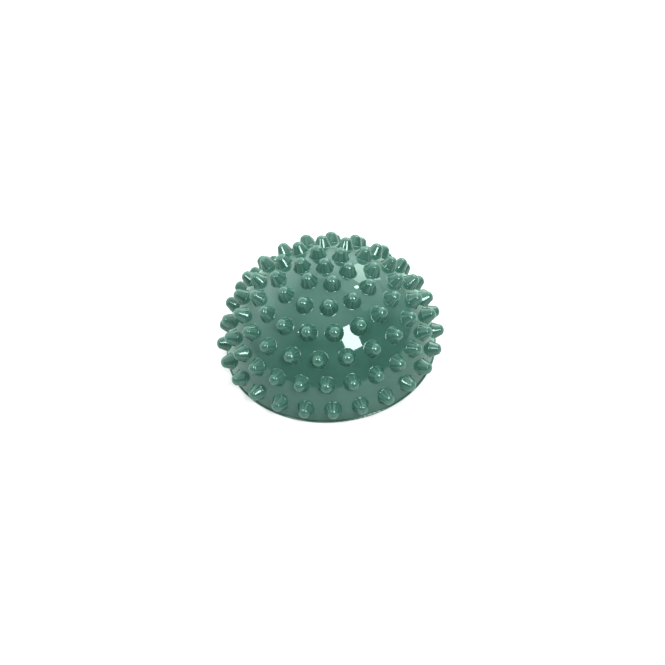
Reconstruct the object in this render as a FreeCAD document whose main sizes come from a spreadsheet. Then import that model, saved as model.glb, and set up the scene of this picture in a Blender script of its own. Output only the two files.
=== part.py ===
"""Air-filled massage half ball: a hollow dome moulded with rows of blunt spikes, closed underneath by a
welded base disc that carries an inflation valve with a pull-out plug.

Millimetres, +Z up. The origin is the centre of the flat foot, on the surface that the half ball stands on.
"""

import FreeCAD, Part
import math
import os

import Sketcher

V = FreeCAD.Vector
DOC = FreeCAD.newDocument("massage_half_ball")

# Driving dimensions: alias, value, meaning. A level is a height above the foot.
DIMENSIONS = [
    ("foot_level", 0.0, "underside of the foot band"),
    ("dome_radius", 73.5, "outer radius of the dome's sphere"),
    ("dome_inner_radius", 70.5, "inner radius of the dome's sphere"),
    ("centre_drop", 1.3, "depth of the sphere's centre below the foot"),
    ("spike_root_distance", 72.0, "sphere's centre to the root of a spike, inside the dome's wall"),
    ("spike_root_radius", 6.4, "radius of a spike at its root"),
    ("spike_tip_distance", 77.25, "sphere's centre to the centre of a spike's round tip"),
    ("spike_tip_radius", 3.85, "radius of that round tip"),
    ("lip_radius", 74.2, "outer radius of the base disc's lip"),
    ("lip_foot_level", 0.9, "underside of that lip"),
    ("lip_level", 2.0, "top of that lip, where the dome's wall is welded on"),
    ("foot_radius", 72.9, "outer radius of the foot, set in under the lip"),
    ("spigot_radius", 69.8, "raised step of the base disc that centres the dome"),
    ("spigot_level", 4.0, "top of that step"),
    ("band_radius", 61.0, "inner radius of the flat band that the half ball stands on"),
    ("relief_level", 0.6, "underside inside that band"),
    ("boss_radius", 15.0, "thick middle of the base disc"),
    ("boss_level", 6.0, "top of that boss"),
    ("well_radius", 11.0, "well in the underside around the valve"),
    ("well_level", 3.4, "roof of that well"),
    ("notch_radius", 4.5, "finger notch at the well's edge"),
    ("notch_level", 2.2, "roof of the finger notch"),
    ("neck_radius", 6.5, "neck of the valve seat, pressed into the base disc"),
    ("seat_flange_radius", 8.5, "flange of the valve seat inside the well"),
    ("seat_foot_level", 2.6, "underside of that flange"),
    ("seat_collar_radius", 11.5, "collar of the valve seat inside the air chamber"),
    ("seat_collar_level", 7.6, "top of that collar"),
    ("seat_tube_radius", 6.0, "tube of the valve seat above the collar"),
    ("seat_top_level", 18.0, "top of the valve seat"),
    ("bore_radius", 3.5, "bore of the valve seat"),
    ("head_radius", 9.0, "head of the valve plug"),
    ("head_foot_level", 0.7, "underside of the plug's head"),
    ("head_top_level", 2.45, "top of the plug's head"),
    ("shank_radius", 2.9, "shank of the plug"),
    ("shank_top_level", 16.5, "end of the plug's shank"),
    ("rib_radius", 3.45, "sealing ribs of the plug, which slide in the bore"),
    ("rib_length", 1.8, "length of one sealing rib"),
    ("rib_pitch", 4.4, "one sealing rib to the next"),
    ("first_rib_level", 4.0, "underside of the lowest sealing rib"),
    ("rib_count", 3, "number of sealing ribs"),
]

# Rows of spikes from the foot up: angle from the top, number of spikes, azimuth of the first spike.
SPIKE_ROWS = [
    (79.5, 25, 9.2),
    (65.2, 25, 6.5),
    (51.9, 20, 9.5),
    (38.7, 17, 19.2),
    (25.1, 12, 0.9),
    (12.2, 6, 44.3),
]

# A point of a sketch's geometry, by its number in Sketcher.
START = 1
END = 2
CENTRE = 3
# Sketcher's own geometry: the level axis, which starts at the origin, and the upright axis.
LEVEL_AXIS = -1
UPRIGHT_AXIS = -2
ORIGIN = (LEVEL_AXIS, START)


def make_sheet():
    """The spreadsheet of driving dimensions, one alias to a row."""
    rows = list(DIMENSIONS)
    for number, (polar, count, azimuth) in enumerate(SPIKE_ROWS, 1):
        rows.append((f"row_{number}_polar", polar, f"spike row {number}: angle from the top"))
        rows.append((f"row_{number}_count", count, f"spike row {number}: number of spikes"))
        rows.append((f"row_{number}_azimuth", azimuth, f"spike row {number}: azimuth of the first spike"))
    sheet = DOC.addObject("Spreadsheet::Sheet", "Dimensions")
    for line, (alias, value, meaning) in enumerate(rows, 1):
        sheet.set(f"A{line}", alias)
        sheet.set(f"B{line}", str(value))
        sheet.setAlias(f"B{line}", alias)
        sheet.set(f"C{line}", meaning)
    DOC.recompute()
    return sheet


SHEET = make_sheet()


def size(alias):
    """A driving dimension's value."""
    return float(getattr(SHEET, alias))


def cell(alias):
    """A driving dimension, as an expression names it."""
    return f"Dimensions.{alias}"


def new_body(label):
    body = DOC.addObject("PartDesign::Body", label)
    body.Label = label
    return body


def origin_part(body, role):
    """One of the body's own origin planes or axes, such as XZ_Plane or Z_Axis."""
    return next(part for part in body.Origin.OriginFeatures if part.Role == role)


def new_sketch(body, name, plane="XZ_Plane"):
    sketch = body.newObject("Sketcher::SketchObject", name)
    sketch.AttachmentSupport = [(origin_part(body, plane), "")]
    sketch.MapMode = "FlatFace"
    return sketch


def constrain(sketch, kind, *parts):
    return sketch.addConstraint(Sketcher.Constraint(kind, *parts))


def measure(sketch, kind, *parts, alias):
    """Adds a dimension to the sketch and ties it to a cell of the sheet."""
    index = constrain(sketch, kind, *parts, size(alias))
    sketch.setExpression(f"Constraints[{index}]", cell(alias))


def fix_corner(sketch, geometry, point, radius, level):
    """Ties a corner's radius and level to their cells; a radius of None is on the upright axis."""
    if radius is None:
        constrain(sketch, "PointOnObject", geometry, point, UPRIGHT_AXIS)
    else:
        measure(sketch, "DistanceX", *ORIGIN, geometry, point, alias=radius)
    if size(level) == 0:
        constrain(sketch, "PointOnObject", geometry, point, LEVEL_AXIS)
    else:
        measure(sketch, "DistanceY", *ORIGIN, geometry, point, alias=level)


def draw_outline(sketch, corners):
    """A closed outline of straight sides through corners, each a pair of aliases (radius, level)."""
    points = [V(0 if radius is None else size(radius), size(level), 0) for radius, level in corners]
    count = len(points)
    for index, point in enumerate(points):
        sketch.addGeometry(Part.LineSegment(point, points[(index + 1) % count]), False)
    for index, (radius, level) in enumerate(corners):
        constrain(sketch, "Coincident", index - 1 if index else count - 1, END, index, START)
        fix_corner(sketch, index, START, radius, level)


def revolve(body, sketch, name):
    """Turns a sketch all the way round its own upright axis."""
    feature = body.newObject("PartDesign::Revolution", name)
    feature.Profile = sketch
    feature.ReferenceAxis = (sketch, ["V_Axis"])
    feature.Angle = 360
    feature.Refine = False
    body.Tip = feature
    return feature


def spike_flank():
    """Where a spike's straight flank leaves the dome and where it meets the round tip.

    Both are (radius, distance from the sphere's centre). The flank runs from the root tangent to the tip.
    """
    root = V(size("spike_root_radius"), size("spike_root_distance"), 0)
    tip_centre = V(0, size("spike_tip_distance"), 0)
    tip_radius = size("spike_tip_radius")
    to_tip = tip_centre - root
    length = math.sqrt(to_tip.Length**2 - tip_radius**2)
    angle = math.atan2(to_tip.y, to_tip.x) - math.asin(tip_radius / to_tip.Length)
    along = V(math.cos(angle), math.sin(angle), 0)
    half = root.dot(along)
    to_dome = -half + math.sqrt(half**2 - root.Length**2 + size("dome_radius") ** 2)
    return root + along * to_dome, root + along * length


def tip_arc(tip_centre, start):
    """The round tip, from the flank to the spike's axis."""
    top = V(0, size("spike_tip_radius"), 0)
    middle = (start - tip_centre + top).normalize() * size("spike_tip_radius")
    return Part.Arc(start, tip_centre + middle, tip_centre + top)


def dome_profile(body):
    """Half section of the dome's wall with the spike at the top.

    The wall is two arcs about one centre, cut level where the dome is welded on.
    """
    sketch = new_sketch(body, "wall_section")
    centre = V(0, -size("centre_drop"), 0)
    reach = size("lip_level") + size("centre_drop")
    base, shoulder = (centre + point for point in spike_flank())
    tip_centre = centre + V(0, size("spike_tip_distance"), 0)
    tip = tip_arc(tip_centre, shoulder)
    walls = []
    for radius, end in (("dome_radius", base), ("dome_inner_radius", None)):
        foot = V(math.sqrt(size(radius) ** 2 - reach**2), size("lip_level"), 0)
        end = end or centre + V(0, size(radius), 0)
        middle = centre + (foot + end - centre * 2).normalize() * size(radius)
        walls.append(Part.Arc(foot, middle, end))
    outer, inner, cap = sketch.addGeometry([*walls, tip], False)
    flank, axis, weld = sketch.addGeometry(
        [
            Part.LineSegment(base, shoulder),
            Part.LineSegment(tip.EndPoint, walls[1].EndPoint),
            Part.LineSegment(walls[1].StartPoint, walls[0].StartPoint),
        ],
        False,
    )
    root_point = centre + V(size("spike_root_radius"), size("spike_root_distance"), 0)
    root = sketch.addGeometry(Part.Point(root_point), True)
    constrain(sketch, "Coincident", weld, START, inner, START)
    constrain(sketch, "Coincident", weld, END, outer, START)
    constrain(sketch, "Coincident", outer, END, flank, START)
    constrain(sketch, "Tangent", flank, END, cap, START)
    constrain(sketch, "Coincident", cap, END, axis, START)
    constrain(sketch, "Coincident", axis, END, inner, END)
    constrain(sketch, "Coincident", inner, CENTRE, outer, CENTRE)
    for geometry, point in ((outer, CENTRE), (cap, CENTRE), (axis, START), (axis, END)):
        constrain(sketch, "PointOnObject", geometry, point, UPRIGHT_AXIS)
    constrain(sketch, "Horizontal", weld)
    constrain(sketch, "PointOnObject", root, START, flank)
    measure(sketch, "DistanceX", outer, CENTRE, root, START, alias="spike_root_radius")
    measure(sketch, "DistanceY", outer, CENTRE, root, START, alias="spike_root_distance")
    measure(sketch, "DistanceY", outer, CENTRE, cap, CENTRE, alias="spike_tip_distance")
    measure(sketch, "Radius", cap, alias="spike_tip_radius")
    measure(sketch, "DistanceY", outer, CENTRE, *ORIGIN, alias="centre_drop")
    measure(sketch, "Radius", outer, alias="dome_radius")
    measure(sketch, "Radius", inner, alias="dome_inner_radius")
    measure(sketch, "DistanceY", *ORIGIN, weld, START, alias="lip_level")
    return sketch


def spike_profile(body, name, polar, azimuth):
    """Half section of one spike, in a meridian plane of the dome.

    The sketch's origin is the sphere's centre and its upright axis is the spike's own axis: the cone's flank
    rises from the root and runs tangent into the round tip.
    """
    sketch = new_sketch(body, name)
    turn = f"rotationy({azimuth}) * rotationz(-{polar})"
    sketch.setExpression("AttachmentOffset", f"placement(vector(0; -{cell('centre_drop')}; 0); {turn})")
    root = V(size("spike_root_radius"), size("spike_root_distance"), 0)
    shoulder = spike_flank()[1]
    tip = tip_arc(V(0, size("spike_tip_distance"), 0), shoulder)
    floor_centre = V(0, root.y, 0)
    lines = [
        Part.LineSegment(floor_centre, root),
        Part.LineSegment(root, shoulder),
        Part.LineSegment(tip.EndPoint, floor_centre),
    ]
    floor, flank, axis = sketch.addGeometry(lines, False)
    cap = sketch.addGeometry(tip, False)
    constrain(sketch, "Coincident", floor, END, flank, START)
    constrain(sketch, "Coincident", floor, START, axis, END)
    constrain(sketch, "Coincident", axis, START, cap, END)
    constrain(sketch, "Tangent", flank, END, cap, START)
    constrain(sketch, "PointOnObject", floor, START, UPRIGHT_AXIS)
    constrain(sketch, "PointOnObject", cap, CENTRE, UPRIGHT_AXIS)
    constrain(sketch, "PointOnObject", cap, END, UPRIGHT_AXIS)
    constrain(sketch, "Horizontal", floor)
    measure(sketch, "DistanceX", *ORIGIN, flank, START, alias="spike_root_radius")
    measure(sketch, "DistanceY", *ORIGIN, flank, START, alias="spike_root_distance")
    measure(sketch, "DistanceY", *ORIGIN, cap, CENTRE, alias="spike_tip_distance")
    measure(sketch, "Radius", cap, alias="spike_tip_radius")
    return sketch


def make_spiked_dome():
    """The dome's wall with the spike at the top and six rows of spikes, moulded in one piece."""
    body = new_body("spiked_dome")
    revolve(body, dome_profile(body), "wall_and_top_spike")
    DOC.recompute()
    volume = body.Tip.Shape.Volume
    for number in range(1, len(SPIKE_ROWS) + 1):
        row = f"row_{number}"
        section = spike_profile(body, f"{row}_section", cell(f"{row}_polar"), cell(f"{row}_azimuth"))
        spike = revolve(body, section, f"{row}_spike")
        pattern = body.newObject("PartDesign::PolarPattern", f"{row}_spikes")
        pattern.Originals = [spike]
        pattern.Axis = (origin_part(body, "Z_Axis"), [""])
        pattern.Angle = 360
        pattern.setExpression("Occurrences", cell(f"{row}_count"))
        pattern.Refine = False
        body.Tip = pattern
        DOC.recompute()
        if not pattern.Shape.isValid() or pattern.Shape.Volume <= volume:
            raise RuntimeError(f"the spikes of {row} were not added")
        volume = pattern.Shape.Volume
    return body


def make_base_disc():
    """The base disc: a round-edged lip, the foot band, the step that centres the dome, and the valve's well."""
    body = new_body("base_disc")
    sketch = new_sketch(body, "disc_section")
    draw_outline(
        sketch,
        [
            ("neck_radius", "well_level"),
            ("well_radius", "well_level"),
            ("well_radius", "relief_level"),
            ("band_radius", "relief_level"),
            ("band_radius", "foot_level"),
            ("foot_radius", "foot_level"),
            ("foot_radius", "lip_foot_level"),
            ("lip_radius", "lip_foot_level"),
            ("lip_radius", "lip_level"),
            ("spigot_radius", "lip_level"),
            ("spigot_radius", "spigot_level"),
            ("boss_radius", "spigot_level"),
            ("boss_radius", "boss_level"),
            ("neck_radius", "boss_level"),
        ],
    )
    disc = revolve(body, sketch, "disc")
    DOC.recompute()
    solid = disc.Shape.Volume

    notch_sketch = new_sketch(body, "notch_outline", "XY_Plane")
    circle = Part.Circle(V(size("well_radius"), 0, 0), V(0, 0, 1), size("notch_radius"))
    outline = notch_sketch.addGeometry(circle, False)
    constrain(notch_sketch, "PointOnObject", outline, CENTRE, LEVEL_AXIS)
    measure(notch_sketch, "DistanceX", *ORIGIN, outline, CENTRE, alias="well_radius")
    measure(notch_sketch, "Radius", outline, alias="notch_radius")
    notch = body.newObject("PartDesign::Pocket", "finger_notch")
    notch.Profile = notch_sketch
    notch.Reversed = True
    notch.setExpression("Length", cell("notch_level"))
    body.Tip = notch
    DOC.recompute()
    if notch.Shape.Volume >= solid:
        raise RuntimeError("the finger notch cuts nothing")

    rounding = body.newObject("PartDesign::Fillet", "round_lip")
    rim = [
        f"Edge{number}"
        for number, edge in enumerate(notch.Shape.Edges, 1)
        if isinstance(edge.Curve, Part.Circle) and abs(edge.Curve.Radius - size("lip_radius")) < 1e-6
    ]
    rounding.Base = (notch, rim)
    rounding.setExpression("Radius", f"0.4 * ({cell('lip_level')} - {cell('lip_foot_level')})")
    body.Tip = rounding
    return body


def make_valve_seat():
    """The rubber valve seat: a neck between flange and collar grips the base disc, and a tube takes the plug."""
    body = new_body("valve_seat")
    sketch = new_sketch(body, "seat_section")
    draw_outline(
        sketch,
        [
            ("bore_radius", "seat_foot_level"),
            ("seat_flange_radius", "seat_foot_level"),
            ("seat_flange_radius", "well_level"),
            ("neck_radius", "well_level"),
            ("neck_radius", "boss_level"),
            ("seat_collar_radius", "boss_level"),
            ("seat_collar_radius", "seat_collar_level"),
            ("seat_tube_radius", "seat_collar_level"),
            ("seat_tube_radius", "seat_top_level"),
            ("bore_radius", "seat_top_level"),
        ],
    )
    revolve(body, sketch, "seat")
    return body


def make_valve_plug():
    """The pull-out plug: a flat head that lies in the well, and a shank with sealing ribs."""
    body = new_body("valve_plug")
    sketch = new_sketch(body, "plug_section")
    draw_outline(
        sketch,
        [
            (None, "head_foot_level"),
            ("head_radius", "head_foot_level"),
            ("head_radius", "head_top_level"),
            ("shank_radius", "head_top_level"),
            ("shank_radius", "shank_top_level"),
            (None, "shank_top_level"),
        ],
    )
    revolve(body, sketch, "head_and_shank")

    rib_sketch = new_sketch(body, "rib_outline", "XY_Plane")
    rib_sketch.setExpression(
        "AttachmentOffset", f"placement(vector(0; 0; {cell('first_rib_level')}); rotationz(0))"
    )
    outline = rib_sketch.addGeometry(Part.Circle(V(0, 0, 0), V(0, 0, 1), size("rib_radius")), False)
    constrain(rib_sketch, "Coincident", outline, CENTRE, *ORIGIN)
    measure(rib_sketch, "Radius", outline, alias="rib_radius")
    rib = body.newObject("PartDesign::Pad", "rib")
    rib.Profile = rib_sketch
    rib.setExpression("Length", cell("rib_length"))
    body.Tip = rib
    ribs = body.newObject("PartDesign::LinearPattern", "ribs")
    ribs.Originals = [rib]
    ribs.Direction = (origin_part(body, "Z_Axis"), [""])
    ribs.setExpression("Length", f"{cell('rib_pitch')} * ({cell('rib_count')} - 1)")
    ribs.setExpression("Occurrences", cell("rib_count"))
    body.Tip = ribs
    return body


def check_and_write(parts):
    """Stops on any failed object or bad shape, then writes one STEP file for each part."""
    DOC.recompute()
    for item in DOC.Objects:
        if "Invalid" in item.State or "Error" in item.State:
            raise RuntimeError(f"{item.Label} failed: {item.State}")
    os.makedirs("parts", exist_ok=True)
    for part in parts:
        shape = part.Shape
        if shape.isNull() or not shape.isValid() or len(shape.Solids) != 1:
            raise RuntimeError(f"{part.Label} is not one valid solid")
        shape.exportStep(f"parts/{part.Label}.step")
        box = shape.BoundBox
        print(
            f"{part.Label}: {shape.Volume:.0f} mm3, X {box.XMin:.2f}..{box.XMax:.2f}, "
            f"Y {box.YMin:.2f}..{box.YMax:.2f}, Z {box.ZMin:.2f}..{box.ZMax:.2f}"
        )


check_and_write([make_spiked_dome(), make_base_disc(), make_valve_seat(), make_valve_plug()])
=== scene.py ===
"""How the massage half ball looks: the glossy vinyl dome with its spikes, the base disc and the valve.

Metres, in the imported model's frame: the origin is the centre of the foot, +Z is up, -Y faces the camera.
"""

import math
import random

import bpy
from mathutils import Matrix, Vector
from mathutils.geometry import delaunay_2d_cdt


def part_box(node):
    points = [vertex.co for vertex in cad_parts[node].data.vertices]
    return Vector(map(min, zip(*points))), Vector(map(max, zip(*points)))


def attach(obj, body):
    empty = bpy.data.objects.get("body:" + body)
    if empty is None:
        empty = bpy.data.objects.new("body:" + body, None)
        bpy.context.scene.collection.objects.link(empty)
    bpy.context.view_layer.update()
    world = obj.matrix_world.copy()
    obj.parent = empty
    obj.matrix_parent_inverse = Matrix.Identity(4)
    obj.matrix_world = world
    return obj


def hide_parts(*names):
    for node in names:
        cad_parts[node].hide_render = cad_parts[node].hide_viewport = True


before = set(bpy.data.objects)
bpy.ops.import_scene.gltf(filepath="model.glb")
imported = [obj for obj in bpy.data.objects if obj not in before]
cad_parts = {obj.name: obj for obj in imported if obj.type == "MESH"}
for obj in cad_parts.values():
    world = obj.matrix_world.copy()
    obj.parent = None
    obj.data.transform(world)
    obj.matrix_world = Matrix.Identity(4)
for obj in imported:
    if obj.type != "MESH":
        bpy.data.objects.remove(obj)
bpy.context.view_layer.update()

MM = 0.001
UP = Vector((0, 0, 1))

# The dome: a sphere's cap, hollow, that stands on the base disc's lip.
DOME_RADIUS = 73.5 * MM
DOME_WALL = 3.0 * MM
CENTRE = Vector((0, 0, -1.3 * MM))
LIP_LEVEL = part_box("spiked_dome")[0].z

# Rows of spikes from the foot up: angle from the top, number of spikes, azimuth of the first spike.
SPIKE_ROWS = [
    (79.5, 25, 9.2),
    (65.2, 25, 6.5),
    (51.9, 20, 9.5),
    (38.7, 17, 19.2),
    (25.1, 12, 0.9),
    (12.2, 6, 44.3),
    (0.0, 1, 0.0),
]

# One spike, as a half section: distances are from the sphere's centre, along the spike's axis.
SPIKE_TOP = 81.1 * MM
SPIKE_ROOT_RADIUS = 6.4 * MM
SPIKE_ROOT_DISTANCE = 72.0 * MM
FLANK_ANGLE = math.radians(21.2)
FILLET_RADIUS = 0.9 * MM
SHOULDER_RADIUS = 2.4 * MM
CROWN_RADIUS = 4.6 * MM
SPIKE_SIDES = 40
FILLET_STEPS = 5
FLANK_STEPS = 4
SHOULDER_STEPS = 5
CROWN_STEPS = 5
AXIS_TOLERANCE = 1e-6 * MM

# Each spike leans a little, by chance but the same in each run.
LEAN = math.radians(0.7)
LEAN_SEED = 7

# Spacing of the dome's mesh between the spikes, and how near to a spike's foot it may come.
MESH_STEP = 2.0 * MM
FOOT_CLEARANCE = 0.45 * MESH_STEP
RIM_SIDES = 256
INNER_RINGS = 24

# What the triangulation is asked for: all that lies inside the rim, the spikes' feet too, so each spike has
# hidden faces across its foot. Points closer than the angle, in radians, become one.
INSIDE_THE_RIM = 2
MERGE_ANGLE = 1e-7

# How far apart the spikes lie in the space that their fine lines come from.
LINE_SPACING = 4.0


def point_on_line(start, direction, centre, distance):
    """The far point of a line that lies at a distance from a centre."""
    offset = start - centre
    half = offset.dot(direction)
    return start + direction * (-half + math.sqrt(half * half - offset.length_squared + distance * distance))


def arc(centre, radius, first, last, steps, outward=1):
    """Points and normals along an arc, from direction first to direction last; its start is left out."""
    for step in range(1, steps + 1):
        normal = first.slerp(last, step / steps)
        yield centre + normal * radius, normal * outward


def spike_section():
    """Half section of a spike from the dome's surface to the top: pairs of (radius, distance) and normal.

    A hollow fillet leaves the sphere, a straight flank narrows to the shoulder, and a crown closes it.
    """
    along = Vector((-math.sin(FLANK_ANGLE), math.cos(FLANK_ANGLE)))
    flank = Vector((math.cos(FLANK_ANGLE), math.sin(FLANK_ANGLE)))
    root = Vector((SPIKE_ROOT_RADIUS, SPIKE_ROOT_DISTANCE))
    origin = Vector((0, 0))
    upright = Vector((0, 1))

    fillet = point_on_line(root + flank * FILLET_RADIUS, along, origin, DOME_RADIUS + FILLET_RADIUS)
    foot_normal = fillet.normalized()
    foot = foot_normal * DOME_RADIUS

    crown = Vector((0, SPIKE_TOP - CROWN_RADIUS))
    shoulder = point_on_line(root - flank * SHOULDER_RADIUS, along, crown, CROWN_RADIUS - SHOULDER_RADIUS)
    turn = (shoulder - crown).normalized()

    section = [(foot, foot_normal)]
    section += arc(fillet, FILLET_RADIUS, -foot_normal, -flank, FILLET_STEPS, outward=-1)
    low = section[-1][0]
    high = shoulder + flank * SHOULDER_RADIUS
    section += [(low.lerp(high, step / FLANK_STEPS), flank) for step in range(1, FLANK_STEPS + 1)]
    section += arc(shoulder, SHOULDER_RADIUS, flank, turn, SHOULDER_STEPS)
    section += arc(crown, CROWN_RADIUS, turn, upright, CROWN_STEPS)
    return section


def spike_frames():
    """A rotation for every spike, which takes +Z to the spike's axis, and that spike's small lean."""
    dice = random.Random(LEAN_SEED)
    for polar, count, first in SPIKE_ROWS:
        for number in range(count):
            azimuth = math.radians(first + 360 * number / count)
            turn = Matrix.Rotation(azimuth, 3, "Z") @ Matrix.Rotation(math.radians(polar), 3, "Y")
            lean = Vector((dice.gauss(0, LEAN), dice.gauss(0, LEAN), 0))
            yield turn, lean


def to_plane(point):
    """Spreads the sphere out flat round its top: the distance from the middle is the angle from the top."""
    direction = point.normalized()
    angle = math.acos(max(-1.0, min(1.0, direction.z)))
    azimuth = math.atan2(direction.y, direction.x)
    return Vector((angle * math.cos(azimuth), angle * math.sin(azimuth)))


def to_sphere(flat):
    """The direction from the sphere's centre that to_plane spreads to this place."""
    angle = flat.length
    azimuth = math.atan2(flat.y, flat.x)
    return Vector((math.sin(angle) * math.cos(azimuth), math.sin(angle) * math.sin(azimuth), math.cos(angle)))


def circle(count):
    """Evenly spaced points on a unit circle, counter-clockwise from +X."""
    return [(math.cos(2 * math.pi * i / count), math.sin(2 * math.pi * i / count)) for i in range(count)]


class Shell:
    """Vertices with a normal and a place on a spike each, and faces; flat faces get their own normal.

    A place on a spike is where a point lies round the axis, as x and y on a unit circle, and its rise from 0
    at the dome to 1 at the top. The circles of the spikes lie apart, so no two spikes get the same lines.
    """

    def __init__(self):
        self.points = []
        self.normals = []
        self.places = []
        self.faces = []
        self.face_normals = []

    def add(self, point, normal, place=(0.0, 0.0, 0.0)):
        """Adds a vertex and returns its number."""
        self.points.append(point)
        self.normals.append(normal)
        self.places.append(place)
        return len(self.points) - 1

    def face(self, corners, normal=None):
        """Adds a face; with a normal of its own it is shaded flat."""
        self.faces.append(corners)
        self.face_normals.append(normal)

    def band(self, low, high, normal=None):
        """Quads between two closed loops of the same count, both counter-clockwise seen from outside."""
        count = len(low)
        for i in range(count):
            j = (i + 1) % count
            self.face((low[i], low[j], high[j], high[i]), normal)

    def fan(self, loop, tip):
        """Triangles from a closed loop to one point."""
        for i in range(len(loop)):
            self.face((loop[i], loop[(i + 1) % len(loop)], tip))

    def build(self, name):
        """Makes the object, with its normals and its places on the spikes."""
        mesh = bpy.data.meshes.new(name)
        mesh.from_pydata(self.points, [], self.faces)
        mesh.polygons.foreach_set("use_smooth", [True] * len(self.faces))
        mesh.normals_split_custom_set(
            [
                own or self.normals[corner]
                for face, own in zip(self.faces, self.face_normals)
                for corner in face
            ]
        )
        spike = mesh.attributes.new("spike", "FLOAT_VECTOR", "POINT")
        spike.data.foreach_set("vector", [part for place in self.places for part in place])
        piece = bpy.data.objects.new(name, mesh)
        bpy.context.scene.collection.objects.link(piece)
        return piece


def add_spike(shell, section, turn, lean, apart):
    """Adds one spike and returns its lowest loop, which lies on the sphere."""
    ring = circle(SPIKE_SIDES)
    height = SPIKE_TOP - DOME_RADIUS
    loops = []
    for (radius, distance), (across, along) in section:
        rise = max(0.0, distance - DOME_RADIUS)
        shift = lean * rise + UP * distance
        share = min(1.0, rise / height)
        if radius < AXIS_TOLERANCE:
            tip = shell.add(CENTRE + turn @ shift, turn @ UP, (apart, 0.0, share))
            shell.fan(loops[-1], tip)
            break
        loops.append(
            [
                shell.add(
                    CENTRE + turn @ (Vector((radius * x, radius * y, 0)) + shift),
                    turn @ Vector((across * x, across * y, along)),
                    (apart + x, y, share),
                )
                for x, y in ring
            ]
        )
    for low, high in zip(loops, loops[1:]):
        shell.band(low, high)
    return loops[0]


def fill_between_spikes(shell, rim, feet, foot_radius):
    """Meshes the sphere inside its rim: finely between the spikes, and coarsely across their hidden feet."""
    flat = [to_plane(shell.points[i] - CENTRE) for i in rim]
    owner = list(rim)
    edges = [(i, (i + 1) % len(rim)) for i in range(len(rim))]
    for foot in feet:
        start = len(flat)
        flat += [to_plane(shell.points[i] - CENTRE) for i in foot]
        owner += foot
        edges += [(start + i, start + (i + 1) % len(foot)) for i in range(len(foot))]

    axes = [turn @ UP for turn, _ in spike_frames()]
    clear = math.cos((foot_radius + FOOT_CLEARANCE) / DOME_RADIUS)
    rim_angle = flat[0].length
    rings = int(rim_angle / (MESH_STEP / DOME_RADIUS))
    for ring in range(1, rings):
        angle = rim_angle * ring / rings
        count = round(2 * math.pi * math.sin(angle) * DOME_RADIUS / MESH_STEP)
        for x, y in circle(count):
            direction = to_sphere(Vector((x, y)) * angle)
            if all(direction.dot(axis) < clear for axis in axes):
                flat.append(Vector((x, y)) * angle)
                owner.append(shell.add(CENTRE + direction * DOME_RADIUS, direction))

    _, _, triangles, sources, _, _ = delaunay_2d_cdt(flat, edges, [], INSIDE_THE_RIM, MERGE_ANGLE)
    for triangle in triangles:
        shell.face(tuple(owner[sources[corner][0]] for corner in triangle))


def make_dome():
    """The hollow dome, closed all round: spikes, outer surface, weld face and inner surface."""
    shell = Shell()
    section = spike_section()
    feet = [
        add_spike(shell, section, turn, lean, apart=LINE_SPACING * number)
        for number, (turn, lean) in enumerate(spike_frames())
    ]

    reach = LIP_LEVEL - CENTRE.z
    rim = []
    for x, y in circle(RIM_SIDES):
        across = math.sqrt(DOME_RADIUS**2 - reach**2)
        point = Vector((across * x, across * y, reach))
        rim.append(shell.add(CENTRE + point, point.normalized()))
    fill_between_spikes(shell, rim, feet, section[0][0].x)

    inner_radius = DOME_RADIUS - DOME_WALL
    widest = math.acos(reach / inner_radius)
    loops = []
    for ring in range(INNER_RINGS, 0, -1):
        angle = widest * ring / INNER_RINGS
        loop = []
        for x, y in circle(RIM_SIDES):
            direction = Vector((math.sin(angle) * x, math.sin(angle) * y, math.cos(angle)))
            loop.append(shell.add(CENTRE + direction * inner_radius, -direction))
        loops.append(loop)
    shell.band(loops[0], rim, -UP)
    for low, high in zip(loops, loops[1:]):
        shell.band(high, low)
    top = shell.add(CENTRE + UP * inner_radius, -UP)
    shell.fan(loops[-1][::-1], top)
    return shell.build("dome")


def add_node(tree, kind, **settings):
    """A shader node; settings name its sockets or its own properties."""
    node = tree.nodes.new(kind)
    for name, value in settings.items():
        socket = node.inputs.get(name.replace("_", " "))
        if socket is not None:
            socket.default_value = value
        else:
            setattr(node, name, value)
    return node


def new_material(name):
    """A material with its node tree and its Principled shader."""
    material = bpy.data.materials.new(name)
    material.use_nodes = True
    return material, material.node_tree, material.node_tree.nodes["Principled BSDF"]


def noise(tree, scale, detail=2.0, place=None):
    """Noise over the object's own space, in features per metre, or over another place."""
    texture = add_node(tree, "ShaderNodeTexNoise", Scale=scale, Detail=detail)
    if place is None:
        place = add_node(tree, "ShaderNodeTexCoord").outputs["Object"]
    tree.links.new(place, texture.inputs["Vector"])
    return texture.outputs["Fac"]


def arithmetic(tree, operation, first, second):
    """Adds or multiplies two values."""
    node = add_node(tree, "ShaderNodeMath", operation=operation)
    tree.links.new(first, node.inputs[0])
    tree.links.new(second, node.inputs[1])
    return node.outputs["Value"]


def spread(tree, value, low, high, start=0.35, end=0.65):
    """Maps a value between start and end to low and high."""
    node = add_node(tree, "ShaderNodeMapRange", From_Min=start, From_Max=end, To_Min=low, To_Max=high)
    tree.links.new(value, node.inputs["Value"])
    return node.outputs["Result"]


def ramp(tree, value, stops):
    """Maps a value through stops, pairs of a position and a level, with straight lines between them."""
    node = add_node(tree, "ShaderNodeValToRGB")
    elements = node.color_ramp.elements
    while len(elements) < len(stops):
        elements.new(1.0)
    for element, (position, level) in zip(elements, stops):
        element.position = position
        element.color = (level, level, level, 1)
    tree.links.new(value, node.inputs["Fac"])
    return node.outputs["Color"]


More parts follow.
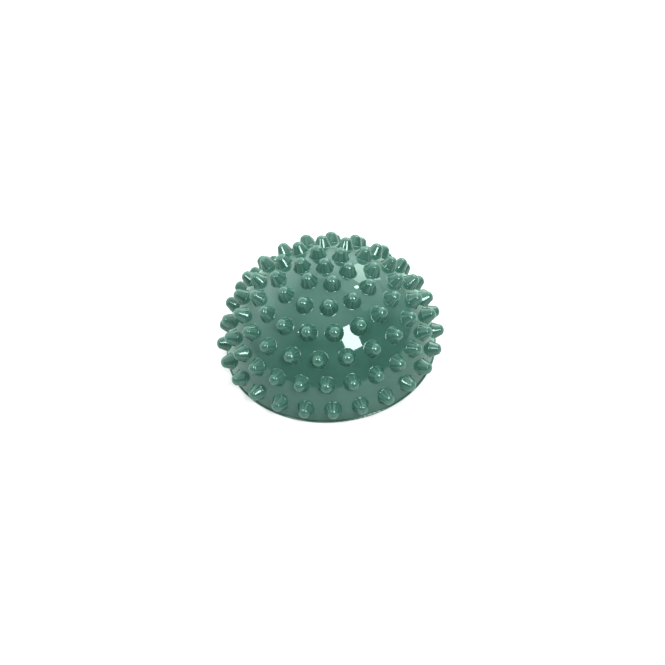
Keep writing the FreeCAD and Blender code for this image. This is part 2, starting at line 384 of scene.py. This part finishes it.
def mix_colour(tree, factor, first, second):
    """Mixes two colours, each a colour or a socket."""
    node = add_node(tree, "ShaderNodeMix", data_type="RGBA")
    tree.links.new(factor, node.inputs["Factor"])
    for socket, colour in ((node.inputs[6], first), (node.inputs[7], second)):
        if isinstance(colour, tuple):
            socket.default_value = (*colour, 1)
        else:
            tree.links.new(colour, socket)
    return node.outputs[2]


def bump(tree, height, distance, strength, normal=None):
    """Raises the surface by a height of 0 to 1 times a distance, over another bump if its normal is given."""
    node = add_node(tree, "ShaderNodeBump", Strength=strength, Distance=distance)
    tree.links.new(height, node.inputs["Height"])
    if normal is not None:
        tree.links.new(normal, node.inputs["Normal"])
    return node.outputs["Normal"]


# Up a spike, from 0 at the dome to 1 at the top: how pale it is with painted light, palest in a painted
# highlight ring at the shoulder, how much rougher than the dome, and how deep the fine lines along it are.
TIP_PAINTED_LIGHT = [(0.0, 0.0), (0.15, 0.4), (0.75, 0.6), (0.9, 1.2), (1.0, 0.4)]
SPIKE_RUB = [(0.0, 0.0), (0.05, 0.0), (0.2, 0.08), (0.8, 0.08), (0.9, 0.03), (1.0, 0.03)]
SPIKE_LINES = [(0.0, 0.0), (0.05, 0.0), (0.2, 1.0), (0.8, 1.0), (0.95, 0.5), (1.0, 0.0)]

# Scales a place on a spike before the lines are drawn: the rise counts little, so they run along the spike.
LINE_STRETCH = (1, 1, 0.05)


def spike_lines(tree):
    """How far up its spike a point lies, and noise that hardly changes along the spike and so makes lines."""
    spike = add_node(tree, "ShaderNodeAttribute", attribute_name="spike").outputs["Vector"]
    split = add_node(tree, "ShaderNodeSeparateXYZ")
    tree.links.new(spike, split.inputs["Vector"])
    stretched = add_node(tree, "ShaderNodeVectorMath", operation="MULTIPLY")
    tree.links.new(spike, stretched.inputs[0])
    stretched.inputs[1].default_value = LINE_STRETCH
    return split.outputs["Z"], noise(tree, 4, detail=1, place=stretched.outputs["Vector"])


def glossy_vinyl(name, colour, pale, roughness):
    """Soft moulded vinyl: faint clouds in the colour, a slight waviness and a fine skin under the gloss.

    On a spike it is a little rougher, with fine lengthwise lines raised in the bump. Its colour carries
    painted light:
    paler towards the top, palest in a painted highlight ring at the shoulder, with painted pale and dark
    streaks.
    """
    material, tree, shader = new_material(name)
    clouds = spread(tree, noise(tree, 38, detail=3), 0.0, 0.35)
    tone = mix_colour(tree, clouds, colour, pale)
    rise, lines = spike_lines(tree)
    depth = ramp(tree, rise, SPIKE_LINES)
    # Painted pale and dark streaks along the spike: lines of highlight and shade put into the colour; the
    # ridges are in the bump.
    painted_streaks = arithmetic(tree, "MULTIPLY", spread(tree, lines, -1.3, 1.3), depth)
    # Painted light on the spike: paler up it and palest in a highlight ring at the shoulder, with the painted
    # streaks added.
    tip = arithmetic(tree, "ADD", ramp(tree, rise, TIP_PAINTED_LIGHT), painted_streaks)
    tree.links.new(mix_colour(tree, tip, tone, pale), shader.inputs["Base Color"])
    gloss = spread(tree, noise(tree, 60, detail=4), roughness * 0.75, roughness * 1.3)
    rubbed = arithmetic(tree, "ADD", gloss, ramp(tree, rise, SPIKE_RUB))
    tree.links.new(rubbed, shader.inputs["Roughness"])
    waves = bump(tree, noise(tree, 70, detail=1), 0.2 * MM, 0.06)
    flow = bump(tree, arithmetic(tree, "MULTIPLY", lines, depth), 0.1 * MM, 0.8, waves)
    skin = bump(tree, noise(tree, 900, detail=2), 0.02 * MM, 0.1, flow)
    tree.links.new(skin, shader.inputs["Normal"])
    shader.inputs["IOR"].default_value = 1.5
    shader.inputs["Specular Tint"].default_value = (0.8, 1.0, 0.93, 1)
    shader.inputs["Subsurface Weight"].default_value = 0.12
    shader.inputs["Subsurface Radius"].default_value = (0.6, 1.0, 0.8)
    shader.inputs["Subsurface Scale"].default_value = 2.5 * MM
    shader.inputs["Coat Weight"].default_value = 1.0
    shader.inputs["Coat IOR"].default_value = 1.0
    shader.inputs["Coat Tint"].default_value = (0.94, 1.0, 0.975, 1)
    return material


def satin_plastic(name, colour, roughness):
    """A plain moulded fitting: faint mottling and a fine moulded skin."""
    material, tree, shader = new_material(name)
    lighter = tuple(min(1.0, channel * 1.15) for channel in colour)
    tone = mix_colour(tree, spread(tree, noise(tree, 180, detail=3), 0.0, 0.6), colour, lighter)
    tree.links.new(tone, shader.inputs["Base Color"])
    gloss = spread(tree, noise(tree, 260, detail=3), roughness * 0.8, roughness * 1.2)
    tree.links.new(gloss, shader.inputs["Roughness"])
    tree.links.new(bump(tree, noise(tree, 1500, detail=2), 0.02 * MM, 0.4), shader.inputs["Normal"])
    return material


# Base colours; DOME_PALE is both the random clouds' lighter green and the painted light up the spikes.
DOME_GREEN = (0.021, 0.064, 0.05)
DOME_PALE = (0.037, 0.096, 0.076)
SEAT_GREEN = (0.05, 0.11, 0.085)
PLUG_GREY = (0.62, 0.64, 0.60)

# The camera looks down at the foot's centre from the front; the shift is a share of the picture's width.
CAMERA_ELEVATION = math.radians(44.98)
CAMERA_DISTANCE = 787 * MM
CAMERA_ROLL = math.radians(4.64)
CAMERA_LENS = 59.9
CAMERA_SHIFT = (0.0022, 0.0182)


def direction_to(azimuth, elevation):
    """A direction from the half ball; azimuth in degrees from the front towards +X, elevation in degrees."""
    turn, tilt = math.radians(azimuth), math.radians(elevation)
    return Vector((math.sin(turn) * math.cos(tilt), -math.cos(turn) * math.cos(tilt), math.sin(tilt)))


def make_camera():
    """The camera, set as the scene's."""
    data = bpy.data.cameras.new("camera")
    data.lens = CAMERA_LENS
    data.shift_x, data.shift_y = CAMERA_SHIFT
    data.clip_start = 0.01
    camera = bpy.data.objects.new("camera", data)
    away = Vector((0, -math.cos(CAMERA_ELEVATION), math.sin(CAMERA_ELEVATION)))
    facing = away.to_track_quat("Z", "Y").to_matrix() @ Matrix.Rotation(-CAMERA_ROLL, 3, "Z")
    camera.matrix_world = Matrix.Translation(away * CAMERA_DISTANCE) @ facing.to_4x4()
    bpy.context.scene.collection.objects.link(camera)
    bpy.context.scene.camera = camera


def make_softbox(name, azimuth, elevation, width, height, radiance, distance=1.1):
    """A softbox that faces the half ball; width and height are the angles that it fills, in degrees."""
    light = bpy.data.lights.new(name, "AREA")
    light.shape = "RECTANGLE"
    light.size = 2 * distance * math.tan(math.radians(width) / 2)
    light.size_y = 2 * distance * math.tan(math.radians(height) / 2)
    light.energy = radiance * math.pi * light.size * light.size_y
    lamp = bpy.data.objects.new(name, light)
    away = direction_to(azimuth, elevation)
    facing = away.to_track_quat("Z", "Y").to_matrix().to_4x4()
    lamp.matrix_world = Matrix.Translation(away * distance) @ facing
    bpy.context.scene.collection.objects.link(lamp)


# Softboxes: azimuth, elevation, width and height in degrees, and radiance.
SOFTBOXES = {
    "key_right": (30.5, 47.5, 17, 25, 27),
    "key_left": (-48, 54, 10, 10, 42),
    "back_right": (145, 37, 20, 26, 5),
    "back_top": (138, 50, 60, 36, 1.1),
    "back_spot": (129, 55, 3, 4, 25),
}

# The backdrop stands behind, turned a little to the left: brightest low down, but dim next to the floor.
BACKDROP_SIDE = (-0.28, 0.96, 0)
BACKDROP_AT_FLOOR = (1.2, 1.25, 1.25)
BACKDROP_LOW = (3.0, 3.1, 3.1)
BACKDROP_HIGH = (1.9, 1.95, 1.95)
ROOM = (0.17, 0.175, 0.175)
CEILING = (2.05, 2.1, 2.1)

FLOOR_REACH = 4.0
FLOOR_GREYS = ((0.48, 0.48, 0.48), (0.50, 0.50, 0.50))
FLOOR_GLOW = 0.28


def make_world():
    """A studio: a lit backdrop low behind, a pale ceiling, and a dim room on the camera's side.

    Heights run from 0 at the horizon to 1 overhead.
    """
    world = bpy.data.worlds.new("studio")
    world.use_nodes = True
    tree = world.node_tree
    background = tree.nodes["Background"]
    place = add_node(tree, "ShaderNodeTexCoord")
    split = add_node(tree, "ShaderNodeSeparateXYZ")
    tree.links.new(place.outputs["Generated"], split.inputs["Vector"])
    facing = add_node(tree, "ShaderNodeVectorMath", operation="DOT_PRODUCT")
    tree.links.new(place.outputs["Generated"], facing.inputs[0])
    facing.inputs[1].default_value = BACKDROP_SIDE
    behind = spread(tree, facing.outputs["Value"], 0.0, 1.0, start=-0.3, end=0.75)
    low = spread(tree, split.outputs["Z"], 1.0, 0.0, start=0.68, end=0.86)
    above = spread(tree, split.outputs["Z"], 0.0, 1.0, start=0.72, end=0.98)
    backdrop = mix_colour(tree, low, BACKDROP_HIGH, BACKDROP_LOW)
    off_floor = spread(tree, split.outputs["Z"], 0.0, 1.0, start=0.0, end=0.32)
    room = mix_colour(tree, behind, ROOM, mix_colour(tree, off_floor, BACKDROP_AT_FLOOR, backdrop))
    tree.links.new(mix_colour(tree, above, room, CEILING), background.inputs["Color"])
    bpy.context.scene.world = world


def make_floor():
    """A plain pale floor with a slight glow of its own, which keeps the shadow round the foot faint."""
    material, tree, shader = new_material("floor_white")
    tone = mix_colour(tree, spread(tree, noise(tree, 3, detail=2), 0.0, 1.0), *FLOOR_GREYS)
    tree.links.new(tone, shader.inputs["Base Color"])
    shader.inputs["Emission Color"].default_value = (1, 1, 1, 1)
    shader.inputs["Emission Strength"].default_value = FLOOR_GLOW
    shader.inputs["Roughness"].default_value = 0.7
    corners = [(FLOOR_REACH * x, FLOOR_REACH * y, 0) for x, y in ((-1, -1), (1, -1), (1, 1), (-1, 1))]
    mesh = bpy.data.meshes.new("floor")
    mesh.from_pydata(corners, [], [(0, 1, 2, 3)])
    floor = bpy.data.objects.new("floor", mesh)
    floor.data.materials.append(material)
    bpy.context.scene.collection.objects.link(floor)


def dress(node, material):
    """Gives a CAD node that is shown as it is a finished material."""
    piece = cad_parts[node]
    for slot in piece.material_slots:
        slot.material = material


def main():
    """Dresses the model and lights it."""
    bpy.context.scene.view_settings.view_transform = "Standard"
    vinyl = glossy_vinyl("dome_vinyl", DOME_GREEN, DOME_PALE, roughness=0.04)
    dome = make_dome()
    dome.data.materials.append(vinyl)
    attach(dome, "half_ball")
    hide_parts("spiked_dome")
    dress("base_disc", glossy_vinyl("base_vinyl", DOME_GREEN, DOME_PALE, roughness=0.15))
    dress("valve_seat", satin_plastic("seat_rubber", SEAT_GREEN, roughness=0.45))
    dress("valve_plug", satin_plastic("plug_plastic", PLUG_GREY, roughness=0.35))
    make_floor()
    make_world()
    for name, settings in SOFTBOXES.items():
        make_softbox(name, *settings)
    make_camera()


main()
